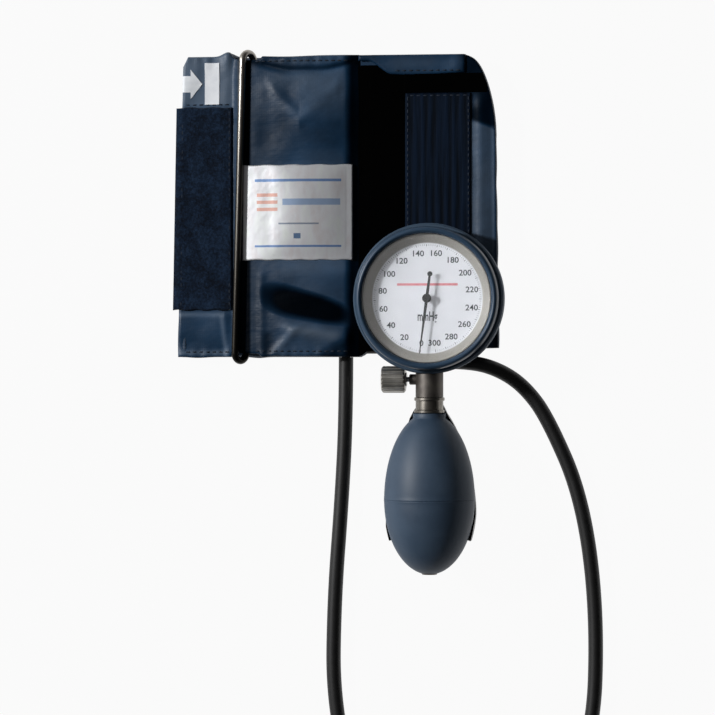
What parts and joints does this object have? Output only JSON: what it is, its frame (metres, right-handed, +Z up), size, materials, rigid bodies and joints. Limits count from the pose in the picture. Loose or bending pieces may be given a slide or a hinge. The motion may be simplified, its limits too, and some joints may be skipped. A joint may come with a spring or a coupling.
{
  "type": "palm aneroid sphygmomanometer",
  "caption": "Hand-held aneroid blood pressure gauge with valve, rubber bulb and palm spoon, and its hose and folded arm cuff with metal ring.",
  "frame": {"origin": "on the table, under the middle of the box round the folded cuff and the hand unit, without the hose", "axes": "+Y runs from the bulb to the gauge and along the cuff's folds, +X to the right across the cuff, and +Z up from the table"},
  "size_m": [0.2046, 0.3977, 0.0453],
  "materials": {
    "navy_nylon": "glossy woven nylon",
    "loop_pile": "matte brushed loop pile",
    "hook_tape": "ribbed hook tape",
    "silver_label": "satin woven label with plain blue lines",
    "chrome_wire": "polished",
    "black_hose": "smooth, lightly glossy",
    "bladder_rubber": "matte",
    "plated_brass": "polished, slightly worn",
    "brass": "satin",
    "steel": "satin",
    "spring_bronze": "bright",
    "capsule_metal": "satin",
    "case_navy": "satin",
    "guard_navy": "matte",
    "bezel_navy": "satin",
    "clear_glass": "polished",
    "soft_rubber": "matte",
    "white_dial": "satin white with black print",
    "black_paint": "satin",
    "bulb_rubber": "matte, powdered",
    "black_plastic": "satin black"
  },
  "bodies": {
    "cuff_and_unit": {"cuff_sleeve": "navy_nylon", "bladder": "bladder_rubber", "loop_pad": "loop_pile", "hook_pad": "hook_tape", "label_patch": "silver_label", "hose": "black_hose", "hose_barb": "plated_brass", "gauge_case": "case_navy", "case_guard": "guard_navy", "bezel_ring": "bezel_navy", "lens": "clear_glass", "lens_gasket": "soft_rubber", "dial": "white_dial", "capsule": "capsule_metal", "capsule_stud": "brass", "feed_pipe": "brass", "lower_plate": "brass", "upper_plate": "brass", "plate_pillars": "brass", "pillar_screws": "steel", "movement_screws": "steel", "hairspring": "spring_bronze", "valve_body": "plated_brass", "band_collar": "chrome_wire", "outlet_seat": "brass", "gland_nut": "plated_brass", "spindle_seal": "soft_rubber", "bulb": "bulb_rubber", "inlet_valve": "plated_brass", "spoon": "black_plastic", "spoon_screw": "steel"},
    "ring": {"ring_bar": "chrome_wire"},
    "sector": {"sector_gear": "brass"},
    "pointer_and_pinion": {"pointer": "black_paint", "pinion_arbor": "steel"},
    "rocker": {"rocking_shaft": "steel"},
    "pin": {"push_pin": "steel"},
    "spindle": {"valve_spindle": "steel"},
    "knob": {"release_knob": "plated_brass"},
    "outlet_flap": {"outlet_disc": "soft_rubber"},
    "inlet_check": {"inlet_ball": "steel"}
  },
  "joints": [
    {"name": "ring_swing", "type": "hinge", "parent": "cuff_and_unit", "child": "ring", "pos_m": [-0.0438, 0.04969, 0.0073], "axis": [0.0264, 0.9997, 0], "range_deg": [0, 45]},
    {"name": "sector_swing", "type": "hinge", "parent": "cuff_and_unit", "child": "sector", "pos_m": [0.04405, 0.0221, 0.0276], "axis": [0, 0, 1], "range_deg": [0, 34.35]},
    {"name": "pointer_turn", "type": "hinge", "parent": "cuff_and_unit", "child": "pointer_and_pinion", "pos_m": [0.04405, 0.0056, 0.0276], "axis": [0, 0, 1], "range_deg": [-343.6, 0], "stiffness_Nm_per_rad": 0.00002, "springref_deg": 28.65},
    {"name": "rocker_turn", "type": "hinge", "parent": "cuff_and_unit", "child": "rocker", "pos_m": [0.0432, 0.0136, 0.0246], "axis": [0, 1, 0], "range_deg": [0, 34.4]},
    {"name": "push_pin_slide", "type": "slide", "parent": "cuff_and_unit", "child": "pin", "axis": [0, 0, 1], "range_m": [0, 0.00116], "deforming": ["capsule"]},
    {"name": "spindle_slide", "type": "slide", "parent": "cuff_and_unit", "child": "spindle", "axis": [-1, 0, 0], "range_m": [0, 0.00106]},
    {"name": "knob_turn", "type": "hinge", "parent": "spindle", "child": "knob", "pos_m": [0.028, -0.0323, 0.024], "axis": [-1, 0, 0], "range_deg": [0, 540]},
    {"name": "outlet_lift", "type": "slide", "parent": "cuff_and_unit", "child": "outlet_flap", "axis": [0, 1, 0], "range_m": [0, 0.0008]},
    {"name": "inlet_lift", "type": "slide", "parent": "cuff_and_unit", "child": "inlet_check", "axis": [0, 1, 0], "range_m": [0, 0.002]}
  ],
  "couplings": [
    {"joint": "pointer_turn", "follows": "sector_swing", "ratio": -10},
    {"joint": "rocker_turn", "follows": "sector_swing", "ratio": 1},
    {"joint": "push_pin_slide", "follows": "sector_swing", "m_per_rad": 0.0019182},
    {"joint": "spindle_slide", "follows": "knob_turn", "m_per_rad": 0.00011141}
  ]
}
